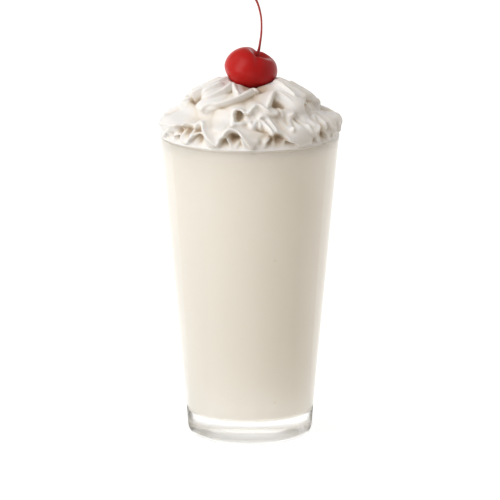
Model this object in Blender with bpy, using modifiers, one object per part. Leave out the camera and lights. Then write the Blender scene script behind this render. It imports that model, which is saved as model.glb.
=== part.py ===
"""A vanilla milkshake in a tapered pint glass, with a piped whipped cream swirl and a cherry on top.

Sizes are in metres, +Z up. The origin is on the glass's axis, at the table.
"""

import math

import bmesh
import bpy
import numpy as np
from mathutils import Vector

MM = 0.001
GAP = 0.3 * MM

# Glass: a plain tapered tumbler with a thick solid base
GLASS_HEIGHT = 153.4 * MM
RIM_RADIUS = 44.5 * MM
FOOT_RADIUS = 30.8 * MM
RIM_WALL = 2.2 * MM
FLOOR_WALL = 3.8 * MM
BASE_THICKNESS = 12.5 * MM
FOOT_ROUNDING = 4.6 * MM
FLOOR_ROUNDING = 2.5 * MM
KICK_RADIUS = 23.0 * MM
KICK_DEPTH = 1.2 * MM
GLASS_STEPS = 64

# Milkshake: fills the glass to just under the rim
SHAKE_BELOW_RIM = 1.6 * MM

# Whipped cream: a piled swirl whose ribbons are folded like a ruffle. In millimetres and degrees.
# Azimuth 0 is the front and +90 the right side, and heights are above the rim.
PILE = (
    # height, radius
    (0.3, 43.8),
    (5.0, 45.4),
    (9.0, 44.4),
    (11.5, 42.8),
    (13.5, 38.2),
    (15.5, 34.0),
    (19.0, 33.6),
    (21.0, 31.4),
    (23.0, 27.6),
    (25.0, 23.4),
    (27.0, 19.5),
    (29.0, 14.5),
    (30.3, 8.0),
    (30.8, 0.0),
)
PILE_ROUNDING = 1.6
PLUG_RADIUS = 41.7
PLUG_DEPTH = 1.2
RIBBONS = {
    # how proud the edge is, then its folds: azimuth, height, and how far the edge runs level there
    "left_shelf": (0.8, ((-98, 4, 5), (-66, 7.5, 10), (-42, 11, 8))),
    "lowest": (
        0.0,
        (
            (-86, 3, 3),
            (-74, 1, 4),
            (-57, 8.5, 5),
            (-45.5, 1, 4),
            (-35, 6.5, 6),
            (-25, 1, 3),
            (-21, 0, 2),
        ),
    ),
    "omega": (1.3, ((-18, 0, -1.5), (-12, 9.5, 6.5), (3.5, 0, 2.5))),
    "low_left": (
        0.6,
        (
            (-44, 1, 4.5),
            (-38.5, 11.5, 5.5),
            (-21.5, 2, 4.5),
            (-9, 12, 7.5),
            (-2.5, 14, 2),
            (2, 11, 2),
            (8, 13, 5),
            (13.5, 0, -7.5),
        ),
    ),
    "middle": (
        0.4,
        ((-12.5, 11.5, 0.2), (-11, 18, 6), (-3, 16, 3), (7.5, 20, 5.5), (20, 15.5, 4), (27.5, 16, 2.5)),
    ),
    "high_arch": (1.0, ((13, 18.5, 3), (35, 24, 10), (45, 16.8, 5), (58, 14.8, 6), (68, 15.5, 8))),
    "under_arch": (-1.0, ((28, 20, 1), (32, 14, 4.5), (42, 14, 3))),
    "low_right": (0.3, ((8, 10.5, 0.2), (11.5, 15, 6), (19, 7.5, 2), (34.5, 0.8, 4.5), (44, 2, 2))),
    "right_loop": (0.9, ((27.5, 7, 1.5), (38.5, 14.5, 7), (45, 6, 6), (64, 14, 7))),
    "second_loop": (0.0, ((41, 12, 0.2), (48.5, 15.5, 5), (51, 9, 4.5), (63, 15, 6), (62, 8, 4))),
    "right_fins": (0.6, ((56, 3, 2), (66, 13.5, 7), (68, 5, 6), (78, 12.5, 7), (79, 3, 6), (90, 10, 5))),
    "tongue": (1.2, ((-47.5, 14.7, 4), (-34, 19.5, 11), (12, 25.5, 13.5))),
    "top_left": (1.6, ((-52, 20, 4), (-38, 24, 2), (-33, 27, 5), (-10, 23, 5.5))),
    "top_front": (0.4, ((-11, 24, 3.5), (6, 26.5, 6), (14, 25, 3))),
}
BACK_RIBBONS = (
    # start and end azimuth, height, height of the waves, their length, how proud the edge is
    (98, 266, 4.0, 3.4, 13, 0.3),
    (98, 268, 10.5, 3.0, 12, 0.3),
    (86, 280, 18.5, 2.8, 12, 0.3),
    (60, 305, 25.0, 2.0, 10, 0.3),
    (-180, 180, 1.4, 1.9, 8, -0.9),
)
BACK_CLIMB = 1.5
BACK_SEED = 4
SWELLS = (
    # azimuth, height, half width, half height, how proud
    (-72, 10.5, 16, 7, 0.3),
    (-21, 12.5, 7, 5.5, -1.2),
    (4, 7.0, 7, 6, -2.2),
    (35, 7.5, 9, 9, 0.2),
    (54, 10.5, 3.5, 8, 0.3),
    (50, 20.0, 7.5, 7.5, 1.8),
    (-46, 21.0, 9, 6, 0.4),
    (-62, 25.5, 4, 4.0, 1.0),
    (60, 25.0, 8, 5, 0.0),
    (80, 10.5, 5, 4.0, 1.8),
    (92, 9.0, 4, 5.0, 1.6),
    (86, 18.0, 3, 3.5, 1.5),
    (78, 26.5, 4, 3.0, 1.4),
    (-84, 9.5, 6, 4.5, 1.0),
    (-86, 17.5, 3.5, 3.0, 1.0),
    (-84, 27.5, 4, 3.0, 1.6),
    (-20, 15.5, 11, 5.0, -1.4),
    (2, 19.5, 7, 4.0, -1.4),
    (-9, 12.5, 5, 4.0, -2.4),
    (31, 18.0, 4.5, 4.0, -2.2),
    (34, 11.5, 5, 4.0, -2.4),
)
PITS = (
    # azimuth, height, half width, half height, depth
    (-53, 6.5, 2.2, 3.4, 5.0),
    (-45.5, 6.5, 2.6, 3.8, 5.0),
    (-38.5, 8.5, 3.0, 2.2, 5.0),
    (-34.5, 3.6, 2.8, 2.8, 5.0),
    (-17.5, 2.6, 1.6, 2.8, 6.0),
    (-9.7, 5.0, 2.6, 3.2, 6.5),
    (-9.5, 15.0, 1.8, 1.8, 4.0),
    (-3.0, 14.0, 2.5, 1.4, 3.0),
    (18.5, 3.6, 4.0, 3.6, 6.5),
    (28.0, 0.8, 2.2, 1.2, 6.0),
    (30.6, 19.0, 2.0, 1.8, 3.0),
    (32.0, 12.0, 2.4, 2.0, 3.0),
    (41.5, 12.5, 1.8, 2.0, 3.5),
    (58.0, 16.0, 3.5, 2.4, 5.0),
    (55.5, 5.0, 2.2, 6.5, 4.5),
    (-64.0, 19.4, 3.0, 2.4, 3.5),
    (12.0, 27.0, 9.0, 2.0, 3.0),
)
PIT_SHARE = 0.75
SKIRT_HEIGHT = 0.2
SKIRT_SIZE = 0.9
SKIRT_PROUD = 0.3
EDGE_RADIUS = 1.15
EDGE_STEP = 0.35
EDGE_FADE = 3.0
GROOVE = 1.2
FLANK_LENGTH = 6.0
FLANK_DROP = 4.8
VALLEY = -7.0
SAG = 1.8
FLOOR_VALLEY = -2.5
CREAM_GRAIN = 0.8
CREAM_TRIANGLES = 8250

# Cherry: squat and leaning to the right, with its stem cavity and a seam right of the middle
CHERRY_RADIUS = 13.3 * MM
CHERRY_SQUASH = 0.84
CHERRY_TAPER = 0.25
CHERRY_SIDE = 0.4 * MM
CHERRY_ABOVE_RIM = 32.3 * MM
CHERRY_LEAN = math.radians(12)
CHERRY_NOD = math.radians(4)
CHERRY_SEGMENTS = 32
CHERRY_RINGS = 18
CAVITY_DEPTH = 4.4 * MM
CAVITY_WIDTH = math.radians(22)
CAVITY_OFFSET = math.radians(16)
SEAM_SIDE = 3.4 * MM
SEAM_DEPTH = 1.1 * MM
SEAM_WIDTH = 1.7 * MM

# Stem
STEM_RADIUS = 0.5 * MM
STEM_ROUTE = (
    # sideways and above the cherry's middle in millimetres, thickness against STEM_RADIUS
    (3.6, 6.6, 1.8),
    (4.7, 11.5, 1.25),
    (5.7, 22.0, 0.95),
    (4.9, 29.1, 1.05),
    (2.7, 35.2, 1.2),
    (-3.3, 43.8, 1.3),
    (-4.6, 45.3, 2.3),
)


def clear_scene():
    for obj in list(bpy.data.objects):
        bpy.data.objects.remove(obj)


def material(name, colour, roughness, transmission=0.0):
    made = bpy.data.materials.new(name)
    made.use_nodes = True
    shader = made.node_tree.nodes["Principled BSDF"]
    shader.inputs["Base Color"].default_value = (*colour, 1.0)
    shader.inputs["Roughness"].default_value = roughness
    shader.inputs["Metallic"].default_value = 0.0
    shader.inputs["Transmission Weight"].default_value = transmission
    return made


def link(obj, collection, finish=None):
    collection.objects.link(obj)
    if finish:
        obj.data.materials.append(finish)
    return obj


def evaluated_mesh(obj):
    bpy.context.view_layer.update()
    graph = bpy.context.evaluated_depsgraph_get()
    return bpy.data.meshes.new_from_object(obj.evaluated_get(graph))


def arc(centre_r, centre_z, radius, start, end, steps):
    """Points of an arc in the (r, z) half plane, angles in degrees."""
    points = []
    for i in range(steps + 1):
        a = math.radians(start + (end - start) * i / steps)
        points.append((centre_r + radius * math.cos(a), centre_z + radius * math.sin(a)))
    return points


def turned(name, profile, steps=GLASS_STEPS):
    """A turned solid from (r, z) points that run down its outer side."""
    mesh = bpy.data.meshes.new(name)
    mesh.from_pydata([(r, 0.0, z) for r, z in profile], [(i, i + 1) for i in range(len(profile) - 1)], [])
    obj = bpy.data.objects.new(name, mesh)
    screw = obj.modifiers.new("turn", "SCREW")
    screw.steps = screw.render_steps = steps
    screw.use_merge_vertices = True
    screw.merge_threshold = 0.00001
    return obj


def outer_radius(z):
    return FOOT_RADIUS + (RIM_RADIUS - FOOT_RADIUS) * z / GLASS_HEIGHT


def wall_thickness(z):
    share = (z - BASE_THICKNESS) / (GLASS_HEIGHT - BASE_THICKNESS)
    return FLOOR_WALL + (RIM_WALL - FLOOR_WALL) * share


def inner_radius(z):
    return outer_radius(z) - wall_thickness(z)


def glass_outside():
    """Outer side from the rim's crown down to the underside's centre."""
    crown = RIM_WALL / 2
    crown_z = GLASS_HEIGHT - crown
    side = arc(RIM_RADIUS - crown, crown_z, crown, 90, 0, 3)
    foot = outer_radius(FOOT_ROUNDING) - FOOT_ROUNDING
    side += arc(foot, FOOT_ROUNDING, FOOT_ROUNDING, -6, -90, 4)
    kick_rise = [(KICK_RADIUS * k, KICK_DEPTH * (1 - k * k)) for k in (1.0, 0.85, 0.5, 0.0)]
    return side + kick_rise


def glass_inside():
    """Inner side from the floor's centre up to the rim's crown."""
    floor = inner_radius(BASE_THICKNESS + FLOOR_ROUNDING) - FLOOR_ROUNDING
    side = [(0.0, BASE_THICKNESS)]
    side += arc(floor, BASE_THICKNESS + FLOOR_ROUNDING, FLOOR_ROUNDING, -90, 0, 3)
    crown = RIM_WALL / 2
    side += arc(RIM_RADIUS - crown, GLASS_HEIGHT - crown, crown, 180, 90, 3)
    return side


def build_glass(collection):
    profile = glass_outside() + glass_inside()
    finish = material("clear_glass", (0.95, 0.97, 0.96), 0.02, 1.0)
    return link(turned("glass", profile), collection, finish)


def shake_profile(grow):
    """Milkshake's side from its top's centre down to its underside's centre, grown by that much."""
    top = GLASS_HEIGHT - SHAKE_BELOW_RIM + grow
    bottom = BASE_THICKNESS + GAP - grow
    corner = FLOOR_ROUNDING
    side = [(0.0, top), (inner_radius(top) - GAP + grow, top)]
    floor = inner_radius(bottom + corner) - GAP + grow - corner
    side += arc(floor, bottom + corner, corner, 0, -90, 3)
    side.append((0.0, bottom))
    return side


def build_milkshake(collection):
    finish = material("vanilla_shake", (0.85, 0.78, 0.66), 0.4)
    return link(turned("milkshake", shake_profile(0.0)), collection, finish)


def smoothstep(x):
    x = np.clip(x, 0.0, 1.0)
    return x * x * (3 - 2 * x)


def pile_outline(grain):
    """Heights and radii of the pile without its folds, at even steps along its outline."""
    height, radius = np.array(PILE).T
    along = np.concatenate([[0], np.cumsum(np.hypot(np.diff(height), np.diff(radius)))])
    even = np.linspace(0, along[-1], int(along[-1] / grain))
    reach = max(1, int(PILE_ROUNDING / grain))
    smooth = []
    for values in (np.interp(even, along, height), np.interp(even, along, radius)):
        for _ in range(2):
            wide = np.pad(values, reach, mode="reflect", reflect_type="odd")
            values = np.convolve(wide, np.ones(2 * reach + 1) / (2 * reach + 1), mode="valid")
        smooth.append(values)
    heights, radii = smooth
    radii[-1] = 0.0
    return heights, np.maximum(radii, 0.0)


def on_pile(azimuth, height):
    heights, radii = pile_outline(0.5)
    radius = np.interp(height, heights, radii)
    turn = np.radians(azimuth)
    return np.stack([radius * np.sin(turn), -radius * np.cos(turn), height], -1)


def edge_line(folds):
    """Points along a ribbon's edge, which runs level at each fold."""
    share = np.linspace(0, 1, 16)[:, None]
    rest = 1 - share
    runs = []
    for start, end in zip(folds, folds[1:]):
        first = np.array(start[:2], float)
        last = np.array(end[:2], float)
        out_of_first = first + (start[2], 0)
        into_last = last - (end[2], 0)
        sides = 3 * rest * share * (out_of_first * rest + into_last * share)
        runs.append(first * rest**3 + sides + last * share**3)
    azimuth, height = np.concatenate(runs).T
    rough = on_pile(azimuth, height + SAG)
    along = np.concatenate([[0], np.cumsum(np.linalg.norm(np.diff(rough, axis=0), axis=1))])
    even = np.linspace(0, along[-1], int(along[-1] / EDGE_STEP))
    return np.stack([np.interp(even, along, axis) for axis in rough.T], -1)


def ribbon_relief(points, normals, edge, proud):
    """How far one ribbon lifts each point off the pile: a round edge, a flank above it and a drop below it."""
    relief = np.full(len(points), VALLEY)
    reach = 12.0
    near = np.where(((points > edge.min(0) - reach) & (points < edge.max(0) + reach)).all(1))[0]
    run = np.gradient(edge, axis=0)
    run /= np.linalg.norm(run, axis=1)[:, None]
    along = np.arange(len(edge)) * EDGE_STEP
    for some in np.array_split(near, len(near) // 3000 + 1):
        away = points[some][:, None] - edge[None]
        distance = np.linalg.norm(away, axis=-1)
        nearest = distance.argmin(1)
        away = away[np.arange(len(some)), nearest]
        beside = (away * run[nearest]).sum(1).clip(-0.6 * EDGE_STEP, 0.6 * EDGE_STEP)
        away -= run[nearest] * beside[:, None]
        distance = np.linalg.norm(away, axis=1)
        above = (np.cross(run[nearest], away) * normals[some]).sum(1) >= 0
        groove = GROOVE * smoothstep((distance - 0.4 * EDGE_RADIUS) / (0.9 * EDGE_RADIUS))
        slope = FLANK_DROP * (1 - np.exp(-np.maximum(distance - 0.6 * EDGE_RADIUS, 0) / FLANK_LENGTH))
        fall = 12 * smoothstep((distance - 8) / 8)
        drop = 0.5 * distance**2 / EDGE_RADIUS
        drop += 8 * smoothstep((distance - 0.4 * EDGE_RADIUS) / (2.0 * EDGE_RADIUS))
        lift = proud - np.where(above, groove + slope + fall, drop)
        to_end = np.minimum(along[nearest], along[-1] - along[nearest])
        lift -= 4 * (1 - smoothstep(to_end / EDGE_FADE + 0.15))
        past_end = (nearest == 0) | (nearest == len(edge) - 1)
        relief[some] = np.where(past_end, proud - 4 - 1.2 * distance, lift)
    return relief


def swell_relief(points, azimuth, height, half_width, half_height, proud):
    """A smooth rounded lump on the pile."""
    turn = math.radians(azimuth)
    outward = np.array([math.sin(turn), -math.cos(turn), 0.0])
    across = np.array([math.cos(turn), math.sin(turn), 0.0])
    away = points - on_pile(azimuth, height)
    far = (away @ across / half_width) ** 2 + (away[:, 2] / half_height) ** 2
    return np.where(points @ outward > 0, proud - 2.2 * far - 1.2 * far**2, VALLEY)


def pit_depth(points, azimuth, height, half_width, half_height, depth):
    """How deep a hollow with steep sides goes in at each point."""
    turn = math.radians(azimuth)
    outward = np.array([math.sin(turn), -math.cos(turn), 0.0])
    across = np.array([math.cos(turn), math.sin(turn), 0.0])
    away = points - on_pile(azimuth, height + SAG)
    far = np.hypot(away @ across / half_width, away[:, 2] / half_height)
    return np.where(points @ outward > 0, PIT_SHARE * depth * smoothstep(1.6 - 1.1 * far), 0.0)


def back_folds(draw, start, end, height, wave_height, wave_length):
    """A ribbon's folds round the sides and back, alternately up and down and a little uneven."""
    folds = []
    azimuth, way = start, 1
    while azimuth < end:
        level = height + BACK_CLIMB * (azimuth - start) / (end - start)
        radius = float(np.linalg.norm(on_pile(azimuth, level)[:2]))
        step = math.degrees(wave_length / 2 * (1 + 0.25 * draw.uniform(-1, 1)) / radius)
        fold_height = level + way * wave_height * (1 + 0.3 * draw.uniform(-1, 1))
        folds.append((azimuth, fold_height, step * draw.uniform(0.7, 1.4)))
        azimuth += step
        way = -way
    return folds


def cream_relief(points, normals):
    """How far the folded surface stands off the plain pile at each point."""
    draw = np.random.default_rng(BACK_SEED)
    ribbons = list(RIBBONS.values()) + [(row[5], back_folds(draw, *row[:5])) for row in BACK_RIBBONS]
    relief = np.full(len(points), VALLEY)
    for proud, folds in ribbons:
        relief = np.maximum(relief, ribbon_relief(points, normals, edge_line(folds), proud))
    skirt = SKIRT_PROUD - 0.8 * ((points[:, 2] - SKIRT_HEIGHT) / SKIRT_SIZE) ** 2
    relief = np.maximum(relief, skirt)
    for swell in SWELLS:
        relief = np.maximum(relief, swell_relief(points, *swell))
    for pit in PITS:
        relief -= pit_depth(points, *pit)
    return relief


def cream_mesh(name, grain):
    """The turned pile, with every point moved out or in by the relief of the folds."""
    heights, radii = pile_outline(grain)
    inside = [(PLUG_RADIUS, PILE[0][0]), (PLUG_RADIUS, -PLUG_DEPTH), (0.0, -PLUG_DEPTH)]
    profile = [*zip(radii[::-1], heights[::-1]), *inside]
    steps = int(2 * math.pi * 40 / grain)
    pile = turned(name, [(r * MM, GLASS_HEIGHT + z * MM) for r, z in profile], steps)
    bpy.context.scene.collection.objects.link(pile)
    mesh = evaluated_mesh(pile)
    bpy.data.objects.remove(pile)
    points = np.empty(len(mesh.vertices) * 3)
    normals = np.empty(len(mesh.vertices) * 3)
    mesh.vertices.foreach_get("co", points)
    mesh.vertices.foreach_get("normal", normals)
    rim = np.array([0.0, 0.0, GLASS_HEIGHT / MM])
    points = points.reshape(-1, 3) / MM - rim
    normals = normals.reshape(-1, 3)
    floor = PILE[0][0]
    radius = np.hypot(points[:, 0], points[:, 1])
    on_outline = (points[:, 2] > floor - 0.01) & (radius > np.interp(points[:, 2], heights, radii) - 0.3)
    crown = smoothstep((radius - 3) / 7)
    lift = cream_relief(points, normals) * crown + 0.3 * VALLEY * (1 - crown)
    lift = np.maximum(lift, FLOOR_VALLEY - 2.0 * np.maximum(points[:, 2] - 1.5, 0.0))
    moved = points + normals * np.where(on_outline, lift, 0.0)[:, None]
    moved[:, 2] -= np.where(on_outline, SAG * smoothstep((lift + 4) / 4) * crown, 0.0)
    moved[:, 2] = np.where(on_outline, np.maximum(moved[:, 2], floor), moved[:, 2])
    mesh.vertices.foreach_set("co", ((moved + rim) * MM).ravel())
    mesh.update()
    return mesh


def cut(obj, cutter, name):
    boolean = obj.modifiers.new(name, "BOOLEAN")
    boolean.operation = "DIFFERENCE"
    boolean.object = cutter


def helper(obj, collection):
    collection.objects.link(obj)
    obj.hide_render = True
    obj.display_type = "WIRE"
    return obj


def glass_cutter(collection):
    """The glass's rim and the milkshake, a gap larger all round, which the cream sits on."""
    crown = RIM_WALL / 2 + GAP
    rim_r = RIM_RADIUS - RIM_WALL / 2
    rim_z = GLASS_HEIGHT - RIM_WALL / 2
    top = GLASS_HEIGHT - SHAKE_BELOW_RIM + GAP
    low = GLASS_HEIGHT - 20 * MM
    profile = [(0.0, top), (rim_r - crown, top)] + arc(rim_r, rim_z, crown, 160, -10, 8)
    profile += [(RIM_RADIUS + 6 * MM, low), (0.0, low)]
    return helper(turned("glass_cutter", profile), collection)


def build_cream(collection, cutters, cherry_grown):
    mesh = cream_mesh("whipped_cream", CREAM_GRAIN)
    mesh.calc_loop_triangles()
    triangles = len(mesh.loop_triangles)
    finish = material("cream", (0.85, 0.84, 0.83), 0.45)
    obj = link(bpy.data.objects.new("whipped_cream", mesh), collection, finish)
    smooth = obj.modifiers.new("soften", "SMOOTH")
    smooth.factor = 0.5
    smooth.iterations = 1
    decimate = obj.modifiers.new("thin_out", "DECIMATE")
    decimate.ratio = min(1.0, CREAM_TRIANGLES / triangles)
    decimate.use_collapse_triangulate = True
    cut(obj, glass_cutter(cutters), "clear_of_glass")
    cut(obj, cherry_grown, "clear_of_cherry")
    return obj


def build_cherry_shape(name, grow):
    """Squat fruit with two unequal lobes, a stem cavity and a seam that runs through it."""
    work = bmesh.new()
    bmesh.ops.create_uvsphere(work, u_segments=CHERRY_SEGMENTS, v_segments=CHERRY_RINGS, radius=CHERRY_RADIUS)
    cavity_way = Vector((math.sin(CAVITY_OFFSET), 0.0, math.cos(CAVITY_OFFSET)))
    for vert in work.verts:
        way = vert.co.normalized()
        narrow = 1 - CHERRY_TAPER * max(0.0, -way.z) ** 1.5
        body = Vector((vert.co.x * narrow, vert.co.y * 0.97 * narrow, vert.co.z * CHERRY_SQUASH))
        side = body.x * math.cos(CHERRY_LEAN) + body.z * math.sin(CHERRY_LEAN)
        seam = SEAM_DEPTH * math.exp(-(((side - SEAM_SIDE) / SEAM_WIDTH) ** 2)) * (0.12 + 1.1 * way.z**2)
        cavity = CAVITY_DEPTH * math.exp(-((way.angle(cavity_way) / CAVITY_WIDTH) ** 2))
        vert.co = body + body.normalized() * (grow - seam) - cavity_way * cavity
    mesh = bpy.data.meshes.new(name)
    work.to_mesh(mesh)
    work.free()
    obj = bpy.data.objects.new(name, mesh)
    obj.location = (CHERRY_SIDE, 0.0, GLASS_HEIGHT + CHERRY_ABOVE_RIM)
    obj.rotation_euler = (CHERRY_NOD, CHERRY_LEAN, 0.0)
    return obj


def build_cherry(collection):
    cherry = build_cherry_shape("cherry", 0.0)
    cherry.data.shade_smooth()
    return link(cherry, collection, material("cherry_skin", (0.42, 0.01, 0.01), 0.3))


def build_stem(collection):
    """Thin stalk that leaves the cavity, bends right and then leans back to the left, with a knob at its end."""
    curve = bpy.data.curves.new("cherry_stem", "CURVE")
    curve.dimensions = "3D"
    curve.bevel_depth = STEM_RADIUS
    curve.bevel_resolution = 2
    curve.resolution_u = 5
    curve.use_fill_caps = True
    spline = curve.splines.new("BEZIER")
    spline.bezier_points.add(len(STEM_ROUTE) - 1)
    base = GLASS_HEIGHT + CHERRY_ABOVE_RIM
    for point, (side, up, thickness) in zip(spline.bezier_points, STEM_ROUTE):
        point.co = (side * MM, 0.0, base + up * MM)
        point.handle_left_type = point.handle_right_type = "AUTO"
        point.radius = thickness
    obj = bpy.data.objects.new("cherry_stem", curve)
    return link(obj, collection, material("stem", (0.45, 0.04, 0.03), 0.35))


def main():
    clear_scene()
    parts = bpy.data.collections.new("milkshake")
    cutters = bpy.data.collections.new("cutters")
    bpy.context.scene.collection.children.link(parts)
    bpy.context.scene.collection.children.link(cutters)
    build_glass(parts)
    build_milkshake(parts)
    build_cherry(parts)
    build_stem(parts)
    cherry_grown = helper(build_cherry_shape("cherry_cutter", GAP), cutters)
    build_cream(parts, cutters, cherry_grown)


if __name__ == "__main__":
    main()
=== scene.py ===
"""The milkshake's looks: clear glass, the drink in it, the folded cream, the cherry and its stem.

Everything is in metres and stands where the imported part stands.
"""

import math

import bmesh
import bpy
import numpy as np
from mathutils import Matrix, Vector


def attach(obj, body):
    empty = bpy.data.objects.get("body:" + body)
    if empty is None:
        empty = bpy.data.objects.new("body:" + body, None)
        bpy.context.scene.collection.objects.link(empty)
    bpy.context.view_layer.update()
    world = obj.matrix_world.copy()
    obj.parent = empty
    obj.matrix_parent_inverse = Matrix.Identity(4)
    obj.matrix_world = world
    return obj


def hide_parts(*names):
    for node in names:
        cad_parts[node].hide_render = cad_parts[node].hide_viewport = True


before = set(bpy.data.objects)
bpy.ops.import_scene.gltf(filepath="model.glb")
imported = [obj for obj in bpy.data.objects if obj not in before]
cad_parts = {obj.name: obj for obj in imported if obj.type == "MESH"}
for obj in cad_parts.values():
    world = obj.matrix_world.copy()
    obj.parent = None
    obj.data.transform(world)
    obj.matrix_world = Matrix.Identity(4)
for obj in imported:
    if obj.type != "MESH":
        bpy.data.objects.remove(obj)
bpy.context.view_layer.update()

MM = 0.001

# Glass
GLASS_HEIGHT = 153.4 * MM
RIM_RADIUS = 44.5 * MM
FOOT_RADIUS = 30.8 * MM
RIM_WALL = 2.2 * MM
FLOOR_WALL = 3.8 * MM
BASE_THICKNESS = 12.5 * MM
FOOT_ROUNDING = 4.6 * MM
FLOOR_ROUNDING = 2.5 * MM
KICK_RADIUS = 23.0 * MM
KICK_DEPTH = 1.2 * MM
GLASS_STEPS = 256
WALL_STEPS = 24
FOOT_ROUGHNESS = 0.22
ROUGH_BELOW = 9.0 * MM
SMOOTH_ABOVE = 14.0 * MM

# Milkshake: reaches just into the glass's wall, so that no air shows between them
SHAKE_BELOW_RIM = 1.3 * MM
INTO_WALL = 0.15 * MM
FLECKS_PER_METRE = 60
FLECK_SIZE = 0.03

# Whipped cream, in millimetres and degrees: azimuth 0 is the front and +90 the right side,
# and heights are above the rim
PILE = (
    # height, radius
    (-0.3, 44.2),
    (5.0, 45.4),
    (9.0, 44.4),
    (11.5, 42.8),
    (13.5, 38.2),
    (15.5, 34.0),
    (19.0, 33.6),
    (21.0, 31.4),
    (23.0, 27.6),
    (25.0, 23.4),
    (27.0, 19.5),
    (29.0, 14.5),
    (30.3, 8.0),
    (30.8, 0.0),
)
PILE_ROUNDING = 1.6
PLUG_DEPTH = 1.7
RIBBONS = {
    # how proud the edge is, then its folds: azimuth, height, and how far the edge runs level there
    "left_shelf": (0.8, ((-98, 4, 5), (-66, 7.5, 10), (-42, 11, 8))),
    "lowest": (
        0.0,
        ((-86, 3, 3), (-74, 1, 4), (-57, 8.5, 5), (-45.5, 1, 4), (-35, 6.5, 6), (-25, 1, 3), (-21, 0, 2)),
    ),
    "omega": (1.3, ((-18, 0, -1.5), (-12, 9.5, 6.5), (3.5, 0, 2.5))),
    "low_left": (
        0.6,
        (
            *((-44, 1, 4.5), (-38.5, 11.5, 5.5), (-21.5, 2, 4.5), (-9, 12, 7.5)),
            *((-2.5, 14, 2), (2, 11, 2), (8, 13, 5), (13.5, 0, -7.5)),
        ),
    ),
    "middle": (
        0.4,
        ((-12.5, 11.5, 0.2), (-11, 18, 6), (-3, 16, 3), (7.5, 20, 5.5), (20, 15.5, 4), (27.5, 16, 2.5)),
    ),
    "high_arch": (1.0, ((13, 18.5, 3), (35, 24, 10), (45, 16.8, 5), (58, 14.8, 6), (68, 15.5, 8))),
    "under_arch": (-1.0, ((28, 20, 1), (32, 14, 4.5), (42, 14, 3))),
    "low_right": (0.3, ((8, 10.5, 0.2), (11.5, 15, 6), (19, 7.5, 2), (34.5, 0.8, 4.5), (44, 2, 2))),
    "right_loop": (0.9, ((27.5, 7, 1.5), (38.5, 14.5, 7), (45, 6, 6), (64, 14, 7))),
    "second_loop": (0.0, ((41, 12, 0.2), (48.5, 15.5, 5), (51, 9, 4.5), (63, 15, 6), (62, 8, 4))),
    "right_fins": (0.6, ((56, 3, 2), (66, 13.5, 7), (68, 5, 6), (78, 12.5, 7), (79, 3, 6), (90, 10, 5))),
    "tongue": (1.2, ((-47.5, 14.7, 4), (-34, 19.5, 11), (12, 25.5, 13.5))),
    "top_left": (1.6, ((-52, 20, 4), (-38, 24, 2), (-33, 27, 5), (-10, 23, 5.5))),
    "top_front": (0.4, ((-11, 24, 3.5), (6, 26.5, 6), (14, 25, 3))),
    "upper_right": (
        2.5,
        ((49, 20, 3), (56, 27, 3.5), (62, 20, 3), (69, 27, 4), (75, 19.5, 3.5), (84, 26, 4)),
    ),
    "upper_left": (
        2.0,
        ((-90, 20, 3), (-83, 27, 3.5), (-77, 20.5, 3), (-70, 28, 3.5), (-64, 22, 3), (-56, 27, 3)),
    ),
}
BACK_RIBBONS = (
    # start and end azimuth, height, height of the waves, their length, how proud the edge is
    (98, 266, 4.0, 3.4, 13, 0.3),
    (98, 268, 10.5, 3.0, 12, 0.3),
    (86, 280, 18.5, 2.8, 12, 0.3),
    (60, 305, 25.0, 2.0, 10, 0.3),
    (-180, 180, 1.4, 1.9, 8, -0.9),
)
BACK_CLIMB = 1.5
BACK_SEED = 4
SWELLS = (
    # azimuth, height, half width, half height, how proud
    (-72, 10.5, 16, 7, 0.3),
    (-21, 12.5, 7, 5.5, -1.2),
    (4, 7.0, 7, 6, -2.2),
    (35, 7.5, 9, 9, 0.2),
    (54, 10.5, 3.5, 8, 0.3),
    (50, 20.0, 7.5, 7.5, 1.8),
    (-46, 21.0, 9, 6, 0.4),
    (-62, 25.5, 4, 4.0, 1.0),
    (60, 25.0, 8, 5, 0.0),
    (80, 10.5, 5, 4.0, 1.8),
    (92, 9.0, 4, 5.0, 1.6),
    (86, 18.0, 3, 3.5, 1.5),
    (78, 26.5, 4, 3.0, 1.4),
    (-84, 9.5, 6, 4.5, 1.0),
    (-86, 17.5, 3.5, 3.0, 1.0),
    (-84, 27.5, 4, 3.0, 1.6),
    (-20, 15.5, 11, 5.0, -1.4),
    (2, 19.5, 7, 4.0, -1.4),
    (-9, 12.5, 5, 4.0, -2.4),
    (31, 18.0, 4.5, 4.0, -2.2),
    (34, 11.5, 5, 4.0, -2.4),
)
PITS = (
    # azimuth, height, half width, half height, depth
    (-53, 6.5, 2.2, 3.4, 5.0),
    (-45.5, 6.5, 2.6, 3.8, 5.0),
    (-38.5, 8.5, 3.0, 2.2, 5.0),
    (-34.5, 3.6, 2.8, 2.8, 5.0),
    (-17.5, 2.6, 1.6, 2.8, 6.0),
    (-9.7, 5.0, 2.6, 3.2, 6.5),
    (-9.5, 15.0, 1.8, 1.8, 4.0),
    (-3.0, 14.0, 2.5, 1.4, 3.0),
    (18.5, 3.6, 4.0, 3.6, 6.5),
    (28.0, 0.8, 2.2, 1.2, 6.0),
    (30.6, 19.0, 2.0, 1.8, 3.0),
    (32.0, 12.0, 2.4, 2.0, 3.0),
    (41.5, 12.5, 1.8, 2.0, 3.5),
    (58.0, 16.0, 3.5, 2.4, 5.0),
    (55.5, 5.0, 2.2, 6.5, 4.5),
    (-64.0, 19.4, 3.0, 2.4, 3.5),
    (12.0, 27.0, 9.0, 2.0, 3.0),
)
PIT_SHARE = 0.75

# The low bead round the rim
SKIRT_HEIGHT = 0.2
SKIRT_SIZE = 0.9
SKIRT_PROUD = 0.3
SKIRT_FALL = 0.8

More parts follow.
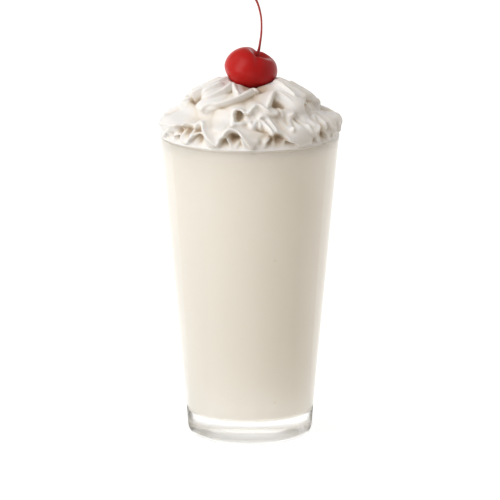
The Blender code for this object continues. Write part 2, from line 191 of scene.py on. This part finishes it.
# A ribbon's section: round edge, groove and sloping flank above it, steep drop below it
EDGE_RADIUS = 1.15
EDGE_STEP = 0.35
EDGE_FADE = 3.0
END_DROP = 4.0
GROOVE = 1.2
FLANK_LENGTH = 6.0
FLANK_DROP = 4.8
FLANK_END = 8.0
FALL = 12.0
UNDERCUT = 8.0
RIBBON_REACH = 12.0
POINTS_AT_ONCE = 3000

# The whole surface: how deep it may go, how far it sags, how calm it is under the cherry, its grid
VALLEY = -7.0
FLOOR_VALLEY = -2.5
FLOOR_VALLEY_TO = 1.5
SAG = 1.8
SAG_FADE = 4.0
CALM_RADIUS = 3.0
CALM_FADE = 7.0
CALM_SHARE = 0.3
GRID_RADIUS = 40.0
CREAM_GRAIN = 0.42
SOFTENINGS = 2
FLANKS_BELOW = -0.45
# Painted shade in the folds: it starts this far below the pile and is full this much further in
SHADE_BELOW = 0.8
SHADE_DEPTH = 4.2

# Cherry
CHERRY_RADIUS = 13.3 * MM
CHERRY_SQUASH = 0.84
CHERRY_TAPER = 0.25
CHERRY_DEPTH = 0.97
CHERRY_GAP = 0.1 * MM
CHERRY_SIDE = 0.4 * MM
CHERRY_ABOVE_RIM = 32.3 * MM
CHERRY_LEAN = math.radians(12)
CHERRY_NOD = math.radians(4)
CHERRY_SEGMENTS = 160
CHERRY_RINGS = 100
CAVITY_DEPTH = 4.4 * MM
CAVITY_WIDTH = math.radians(22)
CAVITY_OFFSET = math.radians(16)
SEAM_SIDE = 3.4 * MM
SEAM_DEPTH = 1.1 * MM
SEAM_WIDTH = 1.7 * MM

# Stem
STEM_RADIUS = 0.5 * MM
STEM_ROUTE = (
    # sideways and above the cherry's middle in millimetres, thickness against STEM_RADIUS
    (3.6, 6.6, 1.8),
    (4.7, 11.5, 1.25),
    (5.7, 22.0, 0.95),
    (4.9, 29.1, 1.05),
    (2.7, 35.2, 1.2),
    (-3.3, 43.8, 1.3),
    (-4.6, 45.3, 2.3),
)


class Material:
    """A node material with a Principled shader, and short ways to add what varies over a surface."""

    def __init__(self, name, **values):
        self.material = bpy.data.materials.new(name)
        self.material.use_nodes = True
        self.tree = self.material.node_tree
        self.shader = self.tree.nodes["Principled BSDF"]
        for socket, value in values.items():
            value = (*value, 1.0) if socket == "base_color" else value
            self.shader.inputs[socket.replace("_", " ").title().replace("Ior", "IOR")].default_value = value

    def node(self, kind, **settings):
        made = self.tree.nodes.new(kind)
        for key, value in settings.items():
            setattr(made, key, value)
        return made

    def link(self, source, target):
        self.tree.links.new(source, target)

    def place(self):
        """Object coordinates, in metres."""
        return self.node("ShaderNodeTexCoord").outputs["Object"]

    def noise(self, scale, detail=3.0, stretch=(1, 1, 1)):
        mapping = self.node("ShaderNodeMapping")
        mapping.inputs["Scale"].default_value = stretch
        self.link(self.place(), mapping.inputs["Vector"])
        noise = self.node("ShaderNodeTexNoise")
        noise.inputs["Scale"].default_value = scale
        noise.inputs["Detail"].default_value = detail
        self.link(mapping.outputs["Vector"], noise.inputs["Vector"])
        return noise.outputs["Fac"]

    def ramp(self, value, *stops):
        """A colour ramp from (position, colour) stops."""
        ramp = self.node("ShaderNodeValToRGB")
        elements = ramp.color_ramp.elements
        while len(elements) < len(stops):
            elements.new(0.5)
        for element, (position, colour) in zip(elements, stops):
            element.position = position
            element.color = (*colour, 1.0)
        self.link(value, ramp.inputs["Fac"])
        return ramp.outputs["Color"]

    def multiplied(self, first, second):
        """The product of two colours."""
        mix = self.node("ShaderNodeMix", data_type="RGBA", blend_type="MULTIPLY")
        mix.inputs["Factor"].default_value = 1.0
        self.link(first, mix.inputs[6])
        self.link(second, mix.inputs[7])
        return mix.outputs[2]

    def along(self, axis, start, end, low=0.0, high=1.0):
        """A value that goes from low to high as the object coordinate on an axis goes from start to end."""
        parts = self.node("ShaderNodeSeparateXYZ")
        self.link(self.place(), parts.inputs["Vector"])
        change = self.node("ShaderNodeMapRange")
        for socket, number in zip(("From Min", "From Max", "To Min", "To Max"), (start, end, low, high)):
            change.inputs[socket].default_value = number
        self.link(parts.outputs[axis], change.inputs["Value"])
        return change.outputs["Result"]

    def stored(self, name, output="Fac"):
        """A value kept on the mesh's points."""
        return self.node("ShaderNodeAttribute", attribute_name=name).outputs[output]

    def bump(self, height, strength, distance):
        """Small relief in the shading."""
        bump = self.node("ShaderNodeBump")
        bump.inputs["Strength"].default_value = strength
        bump.inputs["Distance"].default_value = distance
        self.link(height, bump.inputs["Height"])
        self.link(bump.outputs["Normal"], self.shader.inputs["Normal"])


def evaluated_mesh(obj):
    bpy.context.view_layer.update()
    graph = bpy.context.evaluated_depsgraph_get()
    return bpy.data.meshes.new_from_object(obj.evaluated_get(graph))


def add(name, mesh, finish, slot, *replaced):
    """Puts a mesh in the scene, riding on the object's one body."""
    obj = bpy.data.objects.new(name, mesh)
    bpy.context.scene.collection.objects.link(obj)
    mesh.materials.clear()
    mesh.materials.append(finish.material)
    mesh.polygons.foreach_set("use_smooth", [True] * len(mesh.polygons))
    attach(obj, "root")
    if replaced:
        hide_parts(*replaced)
    return obj


def arc(centre_r, centre_z, radius, start, end, steps):
    """Points of an arc in the (r, z) half plane, angles in degrees."""
    points = []
    for i in range(steps + 1):
        a = math.radians(start + (end - start) * i / steps)
        points.append((centre_r + radius * math.cos(a), centre_z + radius * math.sin(a)))
    return points


def turned(profile, steps=GLASS_STEPS):
    """A turned mesh from (r, z) points that run down its outer side."""
    mesh = bpy.data.meshes.new("profile")
    mesh.from_pydata([(r, 0.0, z) for r, z in profile], [(i, i + 1) for i in range(len(profile) - 1)], [])
    obj = bpy.data.objects.new("profile", mesh)
    bpy.context.scene.collection.objects.link(obj)
    screw = obj.modifiers.new("turn", "SCREW")
    screw.steps = screw.render_steps = steps
    screw.use_merge_vertices = True
    screw.merge_threshold = 0.00001
    made = evaluated_mesh(obj)
    bpy.data.objects.remove(obj)
    return made


def outer_radius(z):
    return FOOT_RADIUS + (RIM_RADIUS - FOOT_RADIUS) * z / GLASS_HEIGHT


def wall_thickness(z):
    share = (z - BASE_THICKNESS) / (GLASS_HEIGHT - BASE_THICKNESS)
    return FLOOR_WALL + (RIM_WALL - FLOOR_WALL) * share


def inner_radius(z):
    return outer_radius(z) - wall_thickness(z)


def glass_profile():
    """Round the section: the rim's crown, the outside, the foot, the hollow under it, and back up inside."""
    crown = RIM_WALL / 2
    crown_z = GLASS_HEIGHT - crown
    side = arc(RIM_RADIUS - crown, crown_z, crown, 90, 0, 8)
    foot = outer_radius(FOOT_ROUNDING) - FOOT_ROUNDING
    for i in range(1, WALL_STEPS):
        z = crown_z + (FOOT_ROUNDING - crown_z) * i / WALL_STEPS
        side.append((outer_radius(z), z))
    side += arc(foot, FOOT_ROUNDING, FOOT_ROUNDING, -6, -90, 16)
    side += [(KICK_RADIUS * k, KICK_DEPTH * (1 - k * k)) for k in np.linspace(1, 0, 12)]
    side.append((0.0, BASE_THICKNESS))
    floor_z = BASE_THICKNESS + FLOOR_ROUNDING
    side += arc(inner_radius(floor_z) - FLOOR_ROUNDING, floor_z, FLOOR_ROUNDING, -90, 0, 10)
    for i in range(1, WALL_STEPS):
        z = floor_z + (crown_z - floor_z) * i / WALL_STEPS
        side.append((inner_radius(z), z))
    side += arc(RIM_RADIUS - crown, crown_z, crown, 180, 90, 8)
    return side


def build_glass():
    """The tumbler, a little rough in its foot, where it stands on the table."""
    finish = Material("clear_glass", base_color=(0.995, 0.995, 0.988), ior=1.5, transmission_weight=1.0)
    rough = finish.along("Z", ROUGH_BELOW, SMOOTH_ABOVE, FOOT_ROUGHNESS, 0.0)
    finish.link(rough, finish.shader.inputs["Roughness"])
    add("glass_piece", turned(glass_profile()), finish, "clear_glass", "glass")


def build_milkshake():
    """The drink, flat on top and reaching just into the wall and the floor of the glass."""
    top = GLASS_HEIGHT - SHAKE_BELOW_RIM
    bottom = BASE_THICKNESS - INTO_WALL
    low = bottom + FLOOR_ROUNDING
    side = [(0.0, top), (inner_radius(top) + INTO_WALL, top)]
    for i in range(1, WALL_STEPS):
        z = top + (low - top) * i / WALL_STEPS
        side.append((inner_radius(z) + INTO_WALL, z))
    side += arc(inner_radius(low) + INTO_WALL - FLOOR_ROUNDING, low, FLOOR_ROUNDING, 0, -90, 10)
    side.append((0.0, bottom))
    finish = Material("vanilla_shake", roughness=0.35)
    clouds = finish.noise(60, 2)
    shade = finish.ramp(clouds, (0.35, (0.988, 0.965, 0.918)), (0.65, (0.995, 0.976, 0.934)))
    cells = finish.node("ShaderNodeTexVoronoi")
    cells.inputs["Scale"].default_value = FLECKS_PER_METRE
    finish.link(finish.place(), cells.inputs["Vector"])
    away = cells.outputs["Distance"]
    fleck = finish.ramp(away, (FLECK_SIZE, (0.93, 0.9, 0.84)), (1.6 * FLECK_SIZE, (1, 1, 1)))
    finish.link(finish.multiplied(shade, fleck), finish.shader.inputs["Base Color"])
    add("milkshake_piece", turned(side), finish, "vanilla_shake", "milkshake")


def smoothstep(x):
    """A soft step from 0 to 1."""
    x = np.clip(x, 0.0, 1.0)
    return x * x * (3 - 2 * x)


def pile_outline(grain):
    """Heights and radii of the pile without its folds, at even steps along its outline."""
    height, radius = np.array(PILE).T
    along = np.concatenate([[0], np.cumsum(np.hypot(np.diff(height), np.diff(radius)))])
    even = np.linspace(0, along[-1], int(along[-1] / grain))
    reach = max(1, int(PILE_ROUNDING / grain))
    smooth = []
    for values in (np.interp(even, along, height), np.interp(even, along, radius)):
        for _ in range(2):
            wide = np.pad(values, reach, mode="reflect", reflect_type="odd")
            values = np.convolve(wide, np.ones(2 * reach + 1) / (2 * reach + 1), mode="valid")
        smooth.append(values)
    heights, radii = smooth
    radii[-1] = 0.0
    return heights, np.maximum(radii, 0.0)


def on_pile(azimuth, height):
    """The point of the plain pile at an azimuth and a height."""
    heights, radii = pile_outline(0.5)
    radius = np.interp(height, heights, radii)
    turn = np.radians(azimuth)
    return np.stack([radius * np.sin(turn), -radius * np.cos(turn), height], -1)


def edge_line(folds):
    """Points along a ribbon's edge, which runs level at each fold."""
    share = np.linspace(0, 1, 16)[:, None]
    rest = 1 - share
    runs = []
    for start, end in zip(folds, folds[1:]):
        first = np.array(start[:2], float)
        last = np.array(end[:2], float)
        out_of_first = first + (start[2], 0)
        into_last = last - (end[2], 0)
        sides = 3 * rest * share * (out_of_first * rest + into_last * share)
        runs.append(first * rest**3 + sides + last * share**3)
    azimuth, height = np.concatenate(runs).T
    rough = on_pile(azimuth, height + SAG)
    along = np.concatenate([[0], np.cumsum(np.linalg.norm(np.diff(rough, axis=0), axis=1))])
    even = np.linspace(0, along[-1], int(along[-1] / EDGE_STEP))
    return np.stack([np.interp(even, along, axis) for axis in rough.T], -1)


def ribbon_relief(points, normals, edge, proud):
    """How far one ribbon lifts each point off the pile: round edge, flank above it and drop below it."""
    relief = np.full(len(points), VALLEY)
    low, high = edge.min(0) - RIBBON_REACH, edge.max(0) + RIBBON_REACH
    near = np.where(((points > low) & (points < high)).all(1))[0]
    run = np.gradient(edge, axis=0)
    run /= np.linalg.norm(run, axis=1)[:, None]
    along = np.arange(len(edge)) * EDGE_STEP
    for some in np.array_split(near, len(near) // POINTS_AT_ONCE + 1):
        away = points[some][:, None] - edge[None]
        distance = np.linalg.norm(away, axis=-1)
        nearest = distance.argmin(1)
        away = away[np.arange(len(some)), nearest]
        beside = (away * run[nearest]).sum(1).clip(-0.6 * EDGE_STEP, 0.6 * EDGE_STEP)
        away -= run[nearest] * beside[:, None]
        distance = np.linalg.norm(away, axis=1)
        above = (np.cross(run[nearest], away) * normals[some]).sum(1) >= 0
        groove = GROOVE * smoothstep((distance - 0.4 * EDGE_RADIUS) / (0.9 * EDGE_RADIUS))
        slope = FLANK_DROP * (1 - np.exp(-np.maximum(distance - 0.6 * EDGE_RADIUS, 0) / FLANK_LENGTH))
        fall = FALL * smoothstep((distance - FLANK_END) / FLANK_END)
        drop = 0.5 * distance**2 / EDGE_RADIUS
        drop += UNDERCUT * smoothstep((distance - 0.4 * EDGE_RADIUS) / (2.0 * EDGE_RADIUS))
        lift = proud - np.where(above, groove + slope + fall, drop)
        to_end = np.minimum(along[nearest], along[-1] - along[nearest])
        lift -= END_DROP * (1 - smoothstep(to_end / EDGE_FADE + 0.15))
        past_end = (nearest == 0) | (nearest == len(edge) - 1)
        relief[some] = np.where(past_end, proud - END_DROP - 1.2 * distance, lift)
    return relief


def from_spot(points, azimuth, height):
    """Points against a spot on the pile: how far across, how far up, and whether they face the same way."""
    turn = math.radians(azimuth)
    outward = np.array([math.sin(turn), -math.cos(turn), 0.0])
    across = np.array([math.cos(turn), math.sin(turn), 0.0])
    away = points - on_pile(azimuth, height)
    return away @ across, away[:, 2], points @ outward > 0


def swell_relief(points, azimuth, height, half_width, half_height, proud):
    """A smooth rounded lump on the pile."""
    across, up, same_side = from_spot(points, azimuth, height)
    far = (across / half_width) ** 2 + (up / half_height) ** 2
    return np.where(same_side, proud - 2.2 * far - 1.2 * far**2, VALLEY)


def pit_depth(points, azimuth, height, half_width, half_height, depth):
    """How deep a hollow with steep sides goes in at each point."""
    across, up, same_side = from_spot(points, azimuth, height + SAG)
    far = np.hypot(across / half_width, up / half_height)
    return np.where(same_side, PIT_SHARE * depth * smoothstep(1.6 - 1.1 * far), 0.0)


def back_folds(draw, start, end, height, wave_height, wave_length):
    """A ribbon's folds round the sides and back, alternately up and down and a little uneven."""
    folds = []
    azimuth, way = start, 1
    while azimuth < end:
        level = height + BACK_CLIMB * (azimuth - start) / (end - start)
        radius = float(np.linalg.norm(on_pile(azimuth, level)[:2]))
        step = math.degrees(wave_length / 2 * (1 + 0.25 * draw.uniform(-1, 1)) / radius)
        fold_height = level + way * wave_height * (1 + 0.3 * draw.uniform(-1, 1))
        folds.append((azimuth, fold_height, step * draw.uniform(0.7, 1.4)))
        azimuth += step
        way = -way
    return folds


def cream_relief(points, normals):
    """How far the folded surface stands off the plain pile at each point."""
    draw = np.random.default_rng(BACK_SEED)
    ribbons = list(RIBBONS.values()) + [(row[5], back_folds(draw, *row[:5])) for row in BACK_RIBBONS]
    relief = np.full(len(points), VALLEY)
    for proud, folds in ribbons:
        relief = np.maximum(relief, ribbon_relief(points, normals, edge_line(folds), proud))
    skirt = SKIRT_PROUD - SKIRT_FALL * ((points[:, 2] - SKIRT_HEIGHT) / SKIRT_SIZE) ** 2
    relief = np.maximum(relief, skirt)
    for swell in SWELLS:
        relief = np.maximum(relief, swell_relief(points, *swell))
    for pit in PITS:
        relief -= pit_depth(points, *pit)
    return relief


def read(mesh, what):
    """One vector for each of the mesh's points: its place or its normal."""
    values = np.empty(len(mesh.vertices) * 3)
    mesh.vertices.foreach_get(what, values)
    return values.reshape(-1, 3)


def store(mesh, name, values):
    """Keeps a number on each point, for the material."""
    mesh.attributes.new(name, "FLOAT", "POINT").data.foreach_set("value", values.astype(np.float32))


def build_cream():
    """The turned pile, with every point moved out or in by the relief of the folds."""
    heights, radii = pile_outline(CREAM_GRAIN)
    crown = RIM_WALL / MM / 2
    inside = arc(RIM_RADIUS / MM - crown, -crown, crown - INTO_WALL / MM, 90, 180, 6)
    inside += [(inside[-1][0], -PLUG_DEPTH), (0.0, -PLUG_DEPTH)]
    profile = [*zip(radii[::-1], heights[::-1]), *inside]
    steps = int(2 * math.pi * GRID_RADIUS / CREAM_GRAIN)
    mesh = turned([(r * MM, GLASS_HEIGHT + z * MM) for r, z in profile], steps)
    rim = np.array([0.0, 0.0, GLASS_HEIGHT / MM])
    points = read(mesh, "co") / MM - rim
    normals = read(mesh, "normal")
    floor = PILE[0][0]
    radius = np.hypot(points[:, 0], points[:, 1])
    on_outline = (points[:, 2] > floor - 0.01) & (radius > np.interp(points[:, 2], heights, radii) - 0.3)
    folded = smoothstep((radius - CALM_RADIUS) / CALM_FADE)
    lift = cream_relief(points, normals) * folded + CALM_SHARE * VALLEY * (1 - folded)
    lift = np.maximum(lift, FLOOR_VALLEY - 2.0 * np.maximum(points[:, 2] - FLOOR_VALLEY_TO, 0.0))
    moved = points + normals * np.where(on_outline, lift, 0.0)[:, None]
    moved[:, 2] -= np.where(on_outline, SAG * smoothstep((lift + SAG_FADE) / SAG_FADE) * folded, 0.0)
    moved[:, 2] = np.where(on_outline, np.maximum(moved[:, 2], floor), moved[:, 2])
    mesh.vertices.foreach_set("co", ((moved + rim) * MM).ravel())
    soften(mesh, on_outline, SOFTENINGS)
    soften(mesh, on_outline & (lift < FLANKS_BELOW), 3 * SOFTENINGS)
    moved = clear_of_cherry(read(mesh, "co") / MM - rim)
    mesh.vertices.foreach_set("co", ((moved + rim) * MM).ravel())
    mesh.update()
    # Painted shade: how deep each point lies in the folds, for the darker colour of the hollows
    store(mesh, "depth", smoothstep((-lift - SHADE_BELOW) / SHADE_DEPTH))
    # Painted shade on steep faces, from how much each point faces up; the parts against the glass and inside
    # it get painted light
    store(mesh, "upward", np.where(on_outline, 0.8 * read(mesh, "normal")[:, 2], 1.0))
    add("whipped_cream_piece", mesh, cream_finish(), "cream", "whipped_cream")


def cream_finish():
    """Painted shade, darker and warmer in the hollows and a little darker on steep faces, and painted light
    on the parts that lie against the glass and in it.
    """
    finish = Material(
        "cream",
        roughness=0.42,
        subsurface_weight=0.3,
        subsurface_radius=(1.0, 0.85, 0.65),
        subsurface_scale=0.0025,
        specular_ior_level=0.4,
    )
    finish.bump(finish.noise(900, 3), 0.15, 0.0003)
    # Painted shade in the hollows: darker and warmer the deeper a point lies in the folds
    colour = finish.ramp(
        finish.stored("depth"),
        (0.0, (0.86, 0.85, 0.84)),
        (0.5, (0.79, 0.74, 0.67)),
        (1.0, (0.56, 0.46, 0.35)),
    )
    # Painted shade on faces that turn sideways or down, and painted light, above 1, on the parts inside the
    # glass
    shade = finish.ramp(
        finish.stored("upward"),
        (0.0, (0.9, 0.89, 0.87)),
        (0.32, (0.93, 0.925, 0.915)),
        (0.68, (1.0, 1.0, 1.0)),
        (0.82, (1.0, 1.0, 1.0)),
        (0.95, (1.14, 1.13, 1.1)),
    )
    finish.link(finish.multiplied(colour, shade), finish.shader.inputs["Base Color"])
    return finish


def soften(mesh, chosen, times):
    """Evens out the saw teeth that the grid leaves along steep edges."""
    work = bmesh.new()
    work.from_mesh(mesh)
    verts = [vert for vert, keep in zip(work.verts, chosen) if keep]
    axes = {"use_axis_x": True, "use_axis_y": True, "use_axis_z": True}
    for _ in range(times):
        bmesh.ops.smooth_vert(work, verts=verts, factor=0.5, **axes)
    work.to_mesh(mesh)
    work.free()


def clear_of_cherry(points):
    """Cream points that would be in the cherry go down to just under it."""
    away = points - np.array([CHERRY_SIDE, 0.0, CHERRY_ABOVE_RIM]) / MM
    lean_x, lean_z = math.sin(CHERRY_LEAN), math.cos(CHERRY_LEAN)
    side = away[:, 0] * lean_z - away[:, 2] * lean_x
    up = away[:, 0] * lean_x + away[:, 2] * lean_z
    reach = (CHERRY_RADIUS + CHERRY_GAP) / MM
    across = np.hypot(side, away[:, 1])
    under = -CHERRY_SQUASH * np.sqrt(np.maximum(reach**2 - across**2, 0.0))
    moved = points.copy()
    moved[:, 2] -= np.where((across < reach) & (up > under), (up - under) / lean_z, 0.0)
    return moved


def build_cherry():
    """Squat fruit with two unequal lobes, a stem cavity and a seam that runs through it."""
    work = bmesh.new()
    size = {"u_segments": CHERRY_SEGMENTS, "v_segments": CHERRY_RINGS, "radius": CHERRY_RADIUS}
    bmesh.ops.create_uvsphere(work, **size)
    cavity_way = Vector((math.sin(CAVITY_OFFSET), 0.0, math.cos(CAVITY_OFFSET)))
    for vert in work.verts:
        way = vert.co.normalized()
        narrow = 1 - CHERRY_TAPER * max(0.0, -way.z) ** 1.5
        body = Vector((vert.co.x * narrow, vert.co.y * CHERRY_DEPTH * narrow, vert.co.z * CHERRY_SQUASH))
        side = body.x * math.cos(CHERRY_LEAN) + body.z * math.sin(CHERRY_LEAN)
        seam = SEAM_DEPTH * math.exp(-(((side - SEAM_SIDE) / SEAM_WIDTH) ** 2)) * (0.12 + 1.1 * way.z**2)
        cavity = CAVITY_DEPTH * math.exp(-((way.angle(cavity_way) / CAVITY_WIDTH) ** 2))
        vert.co = body - body.normalized() * seam - cavity_way * cavity
    mesh = bpy.data.meshes.new("cherry_piece")
    work.to_mesh(mesh)
    work.free()
    finish = Material(
        "cherry_skin",
        roughness=0.3,
        specular_ior_level=0.16,
        coat_weight=0.06,
        coat_roughness=0.06,
    )
    # Random mottling, plus painted shade: the skin darkens from the left side towards the right
    mottling_and_side_shade = finish.node("ShaderNodeMath", operation="MULTIPLY_ADD")
    mottling_and_side_shade.inputs[1].default_value = 0.3
    finish.link(finish.noise(140, 3), mottling_and_side_shade.inputs[0])
    finish.link(finish.along("X", -0.7 * CHERRY_RADIUS, 0.9 * CHERRY_RADIUS), mottling_and_side_shade.inputs[2])
    skin = finish.ramp(mottling_and_side_shade.outputs["Value"], (0.1, (0.5, 0.012, 0.009)), (1.1, (0.37, 0.009, 0.011)))
    finish.link(skin, finish.shader.inputs["Base Color"])
    obj = add("cherry_piece", mesh, finish, "cherry_skin", "cherry")
    obj.location = (CHERRY_SIDE, 0.0, GLASS_HEIGHT + CHERRY_ABOVE_RIM)
    obj.rotation_euler = (CHERRY_NOD, CHERRY_LEAN, 0.0)


def build_stem():
    """Thin stalk that leaves the cavity, bends right and leans back to the left, with a knob at its end."""
    curve = bpy.data.curves.new("stem", "CURVE")
    curve.dimensions = "3D"
    curve.bevel_depth = STEM_RADIUS
    curve.bevel_resolution = 6
    curve.resolution_u = 16
    curve.use_fill_caps = True
    spline = curve.splines.new("BEZIER")
    spline.bezier_points.add(len(STEM_ROUTE) - 1)
    base = GLASS_HEIGHT + CHERRY_ABOVE_RIM
    for point, (side, up, thickness) in zip(spline.bezier_points, STEM_ROUTE):
        point.co = (side * MM, 0.0, base + up * MM)
        point.handle_left_type = point.handle_right_type = "AUTO"
        point.radius = thickness
    obj = bpy.data.objects.new("stem", curve)
    bpy.context.scene.collection.objects.link(obj)
    mesh = evaluated_mesh(obj)
    bpy.data.objects.remove(obj)
    finish = Material("stem", roughness=0.35, specular_ior_level=0.4)
    colour = finish.ramp(
        finish.along("Z", base + STEM_ROUTE[0][1] * MM, base + STEM_ROUTE[-1][1] * MM),
        (0.08, (0.3, 0.012, 0.012)),
        (0.3, (0.42, 0.04, 0.04)),
        (0.9, (0.4, 0.06, 0.045)),
        (1.0, (0.3, 0.09, 0.04)),
    )
    finish.link(colour, finish.shader.inputs["Base Color"])
    finish.bump(finish.noise(900, 2, (1, 1, 0.15)), 0.3, 0.0002)
    add("cherry_stem_piece", mesh, finish, "stem", "cherry_stem")


# Studio, in metres and degrees
FLOOR_COLOUR = (0.5, 0.5, 0.5)
FLOOR_HALF = 8
FLOOR_GLOW = 0.9
BAND_GLOW = 1.0
BAND_STEPS = 24
KEY_AZIMUTH = -62
KEY_ELEVATION = 32
KEY_DISTANCE = 1.6
KEY_SIZE = (1.6, 2.2)
KEY_WATTS = 30.5
KEY_COLOUR = (0.97, 0.96, 0.96)
KEY_TARGET = (0.0, 0.0, 0.12)
CAMERA_PLACE = (0.0, -1.669, 0.4739)
CAMERA_TARGET = (0.0, 0.0, 0.094)
CAMERA_LENS = 246.1
LIGHT_BOUNCES = 12
SKY_WHITE_TO = 0.05
SKY_DIM_FROM = 0.12
SKY_WHITE_BEHIND = 0.3
SKY_COLOUR = (0.36, 0.33, 0.29)
WHITE = (1.0, 1.0, 1.0)
DIM_LEFT = (0.38, 0.36, 0.33)
DIM_RIGHT = (0.29, 0.23, 0.16)
DARK_LEFT = (0.13, 0.125, 0.105)
DARK_RIGHT = (0.18, 0.17, 0.15)
BANDS = (
    # name, start and end round the object, inner and outer ring as (radius, height), and the colours at
    # start and end; here 0 degrees is behind the object and +90 its right
    ("wall_left", -115, -60, (0.42, 0.0), (0.42, 0.9), DIM_LEFT, WHITE),
    ("wall_right", 155, 62, (0.42, 0.0), (0.42, 0.9), DIM_RIGHT, WHITE),
    ("floor_left", -115, -60, (0.045, 0.0002), (0.42, 0.0002), DIM_LEFT, WHITE),
    ("floor_right", 115, 62, (0.045, 0.0002), (0.42, 0.0002), DIM_RIGHT, WHITE),
    ("floor_front", 115, 245, (0.034, 0.0002), (0.9, 0.0002), (0.56, 0.5, 0.43), (0.6, 0.58, 0.54)),
    ("low_wall_left", -100, -22, (0.045, 0.0), (0.045, 0.007), DARK_LEFT, DARK_LEFT),
    ("low_wall_right", 100, 38, (0.045, 0.0), (0.045, 0.007), DARK_RIGHT, DARK_RIGHT),
    ("low_wall_streak", 18, 29, (0.045, 0.0), (0.045, 0.007), DARK_RIGHT, DARK_RIGHT),
    ("foot_left", -100, -22, (0.014, 0.0004), (0.045, 0.0004), DARK_LEFT, DARK_LEFT),
    ("foot_right", 100, 38, (0.014, 0.0004), (0.045, 0.0004), DARK_RIGHT, DARK_RIGHT),
    ("foot_streak", 18, 29, (0.014, 0.0004), (0.045, 0.0004), DARK_RIGHT, DARK_RIGHT),
)


def aim(obj, target):
    obj.rotation_euler = (Vector(target) - obj.location).to_track_quat("-Z", "Y").to_euler()


def build_key():
    """A large soft light in front and to the left, from above."""
    light = bpy.data.lights.new("key", "AREA")
    light.shape = "RECTANGLE"
    light.size, light.size_y = KEY_SIZE
    light.energy = KEY_WATTS
    light.color = KEY_COLOUR
    obj = bpy.data.objects.new("key", light)
    turn, rise = math.radians(KEY_AZIMUTH), math.radians(KEY_ELEVATION)
    flat = KEY_DISTANCE * math.cos(rise)
    height = KEY_TARGET[2] + KEY_DISTANCE * math.sin(rise)
    obj.location = (flat * math.sin(turn), -flat * math.cos(turn), height)
    aim(obj, KEY_TARGET)
    bpy.context.scene.collection.objects.link(obj)


def band(start, end, *rings):
    """Corners and faces between an inner and an outer (radius, height) ring."""
    turns = np.radians(np.linspace(start, end, BAND_STEPS + 1))
    corners = [(radius * math.sin(a), radius * math.cos(a), z) for radius, z in rings for a in turns]
    row = BAND_STEPS + 1
    return corners, [(i, i + 1, i + row + 1, i + row) for i in range(BAND_STEPS)]


def stage_sheet(name, shape, colours, glow, hidden=True):
    """A sheet of the studio. A hidden one lights the object and shows in the glass, but not to the camera."""
    mesh = bpy.data.meshes.new(name)
    mesh.from_pydata(shape[0], [], shape[1])
    sheet = bpy.data.objects.new(name, mesh)
    bpy.context.scene.collection.objects.link(sheet)
    shade = mesh.color_attributes.new("shade", "FLOAT_COLOR", "POINT")
    first, last = (Vector(colour) for colour in colours)
    for i, point in enumerate(shade.data):
        point.color = (*first.lerp(last, i % (BAND_STEPS + 1) / BAND_STEPS), 1.0)
    own_colour = (0, 0, 0) if hidden else FLOOR_COLOUR
    finish = Material(name, base_color=own_colour, roughness=0.8, specular_ior_level=0.0)
    finish.shader.inputs["Emission Strength"].default_value = glow
    finish.link(finish.stored("shade", "Color"), finish.shader.inputs["Emission Color"])
    mesh.materials.append(finish.material)
    sheet.visible_camera = not hidden
    sheet.visible_shadow = not hidden


def build_sky():
    """Light from all round: white near the horizon, and dimmer and warmer above."""
    world = bpy.data.worlds.new("studio")
    bpy.context.scene.world = world
    world.use_nodes = True
    nodes, links = world.node_tree.nodes, world.node_tree.links
    place = nodes.new("ShaderNodeTexCoord")
    parts = nodes.new("ShaderNodeSeparateXYZ")
    lower = nodes.new("ShaderNodeMath")
    lower.operation = "MULTIPLY_ADD"
    lower.inputs[1].default_value = -SKY_WHITE_BEHIND
    ramp = nodes.new("ShaderNodeValToRGB")
    links.new(place.outputs["Generated"], parts.inputs["Vector"])
    links.new(parts.outputs["Y"], lower.inputs[0])
    links.new(parts.outputs["Z"], lower.inputs[2])
    links.new(lower.outputs["Value"], ramp.inputs["Fac"])
    links.new(ramp.outputs["Color"], nodes["Background"].inputs["Color"])
    low, high = ramp.color_ramp.elements
    low.position, low.color = SKY_WHITE_TO, (1.0, 1.0, 1.0, 1.0)
    high.position, high.color = SKY_DIM_FROM, (*SKY_COLOUR, 1.0)


def build_studio():
    """A pale floor, soft lights, and the camera where the photograph was taken from."""
    half = FLOOR_HALF
    floor = [(-half, -half, 0), (half, -half, 0), (half, half, 0), (-half, half, 0)]
    stage_sheet("floor", (floor, [(0, 1, 2, 3)]), (WHITE, WHITE), FLOOR_GLOW, False)
    for name, start, end, inner, outer, *colours in BANDS:
        stage_sheet(name, band(start, end, inner, outer), colours, BAND_GLOW)
    build_key()
    build_sky()
    camera = bpy.data.objects.new("camera", bpy.data.cameras.new("camera"))
    camera.location = CAMERA_PLACE
    camera.data.lens = CAMERA_LENS
    camera.data.sensor_width = 36.0
    camera.data.clip_end = 60.0
    aim(camera, CAMERA_TARGET)
    bpy.context.scene.collection.objects.link(camera)
    bpy.context.scene.camera = camera
    bpy.context.scene.view_settings.view_transform = "Standard"
    cycles = bpy.context.scene.cycles
    cycles.blur_glossy = 0.0
    cycles.max_bounces = 2 * LIGHT_BOUNCES
    cycles.diffuse_bounces = cycles.glossy_bounces = cycles.transmission_bounces = LIGHT_BOUNCES


build_glass()
build_milkshake()
build_cream()
build_cherry()
build_stem()
build_studio()
